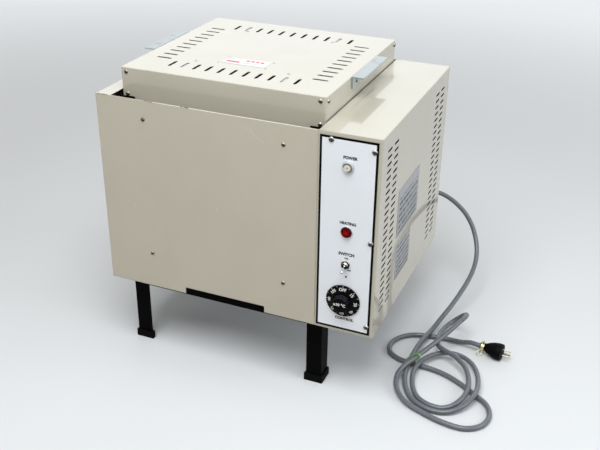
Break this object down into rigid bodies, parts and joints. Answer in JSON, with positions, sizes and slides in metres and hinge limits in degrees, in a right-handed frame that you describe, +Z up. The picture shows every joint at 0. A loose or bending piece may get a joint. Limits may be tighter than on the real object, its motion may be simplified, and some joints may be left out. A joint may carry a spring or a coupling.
{
  "type": "small electric kiln",
  "caption": "Top-loading electric kiln: brick chamber in an angle frame and steel case, lift-off slotted lid, control section with lamps, switch and dial, mains cord.",
  "frame": {"origin": "on the floor, under the middle of the kiln without its free cord", "axes": "+X to the right of someone facing the control plate, +Y from front to back, +Z up"},
  "size_m": [0.8435, 0.5903, 0.639],
  "materials": {
    "back_panel": "semi-gloss beige enamel",
    "back_rail": "black paint",
    "base_plate": "galvanised sheet",
    "brick_back": "insulating fire brick",
    "brick_front": "insulating fire brick",
    "brick_left": "insulating fire brick",
    "brick_right": "insulating fire brick",
    "clear_lamp_bezel": "polished chrome",
    "clear_lamp_lens": "clear moulded lens",
    "control_base": "galvanised sheet",
    "control_cover": "semi-gloss beige enamel",
    "control_front": "semi-gloss beige enamel",
    "control_partition": "galvanised sheet",
    "control_plate": "semi-gloss white enamel",
    "cord_gland": "matt black rubber",
    "cord_tie": "green coated wire",
    "dial_knob": "black moulding",
    "energy_regulator": "black moulding",
    "floor_brick": "insulating fire brick",
    "foot_boot_back_left": "matt black rubber",
    "foot_boot_back_right": "matt black rubber",
    "foot_boot_front_left": "matt black rubber",
    "foot_boot_front_right": "matt black rubber",
    "front_channel_left": "galvanised sheet",
    "front_channel_right": "galvanised sheet",
    "front_panel": "semi-gloss beige enamel",
    "front_rail": "black paint",
    "heating_element_lower": "oxidised resistance wire",
    "heating_element_middle": "oxidised resistance wire",
    "heating_element_upper": "oxidised resistance wire",
    "inner_shell": "galvanised sheet",
    "insulation_blanket": "ceramic fibre",
    "left_side_panel": "semi-gloss beige enamel",
    "leg_post_back_left": "black paint",
    "leg_post_back_right": "black paint",
    "leg_post_front_left": "black paint",
    "leg_post_front_right": "black paint",
    "lid_corner_back_left": "galvanised sheet",
    "lid_corner_back_right": "galvanised sheet",
    "lid_corner_front_left": "galvanised sheet",
    "lid_corner_front_right": "galvanised sheet",
    "lid_cover": "semi-gloss beige enamel",
    "lid_handle_left": "clear anodised",
    "lid_handle_right": "clear anodised",
    "lid_insulation": "insulating fire brick",
    "lid_strap_left": "galvanised sheet",
    "lid_strap_right": "galvanised sheet",
    "plug_body": "matt black rubber",
    "plug_clamp": "bright brass",
    "plug_contacts": "bright brass",
    "power_cord_coil": "grey cord sheath",
    "power_cord_drop": "grey cord sheath",
    "power_cord_lead": "grey cord sheath",
    "red_lamp_bezel": "polished chrome",
    "red_lamp_lens": "red moulded lens",
    "terminal_strip": "glazed porcelain",
    "toggle_lever": "polished chrome",
    "toggle_nut": "polished chrome",
    "toggle_switch": "polished chrome"
  },
  "bodies": {
    "base": {"back_panel": "back_panel", "back_rail": "back_rail", "base_plate": "base_plate", "brick_back": "brick_back", "brick_front": "brick_front", "brick_left": "brick_left", "brick_right": "brick_right", "clear_lamp_bezel": "clear_lamp_bezel", "clear_lamp_lens": "clear_lamp_lens", "control_base": "control_base", "control_cover": "control_cover", "control_front": "control_front", "control_partition": "control_partition", "control_plate": "control_plate", "cord_gland": "cord_gland", "cord_tie": "cord_tie", "energy_regulator": "energy_regulator", "floor_brick": "floor_brick", "foot_boot_back_left": "foot_boot_back_left", "foot_boot_back_right": "foot_boot_back_right", "foot_boot_front_left": "foot_boot_front_left", "foot_boot_front_right": "foot_boot_front_right", "front_channel_left": "front_channel_left", "front_channel_right": "front_channel_right", "front_panel": "front_panel", "front_rail": "front_rail", "heating_element_lower": "heating_element_lower", "heating_element_middle": "heating_element_middle", "heating_element_upper": "heating_element_upper", "inner_shell": "inner_shell", "insulation_blanket": "insulation_blanket", "left_side_panel": "left_side_panel", "leg_post_back_left": "leg_post_back_left", "leg_post_back_right": "leg_post_back_right", "leg_post_front_left": "leg_post_front_left", "leg_post_front_right": "leg_post_front_right", "plug_body": "plug_body", "plug_clamp": "plug_clamp", "plug_contacts": "plug_contacts", "power_cord_coil": "power_cord_coil", "power_cord_drop": "power_cord_drop", "power_cord_lead": "power_cord_lead", "red_lamp_bezel": "red_lamp_bezel", "red_lamp_lens": "red_lamp_lens", "terminal_strip": "terminal_strip", "toggle_nut": "toggle_nut", "toggle_switch": "toggle_switch"},
    "lid": {"lid_corner_back_left": "lid_corner_back_left", "lid_corner_back_right": "lid_corner_back_right", "lid_corner_front_left": "lid_corner_front_left", "lid_corner_front_right": "lid_corner_front_right", "lid_cover": "lid_cover", "lid_handle_left": "lid_handle_left", "lid_handle_right": "lid_handle_right", "lid_insulation": "lid_insulation", "lid_strap_left": "lid_strap_left", "lid_strap_right": "lid_strap_right"},
    "dial": {"dial_knob": "dial_knob"},
    "toggle": {"toggle_lever": "toggle_lever"}
  },
  "joints": [
    {"name": "lid_lift", "type": "slide", "parent": "base", "child": "lid", "axis": [0, 0, 1], "range_m": [0, 0.15]},
    {"name": "dial_turn", "type": "hinge", "parent": "base", "child": "dial", "pos_m": [0.2373, -0.23889, 0.244], "axis": [0, -1, 0], "range_deg": [0, 300]},
    {"name": "toggle_throw", "type": "hinge", "parent": "base", "child": "toggle", "pos_m": [0.2395, -0.24229, 0.3256], "axis": [-1, 0, 0], "range_deg": [0, 34]}
  ]
}
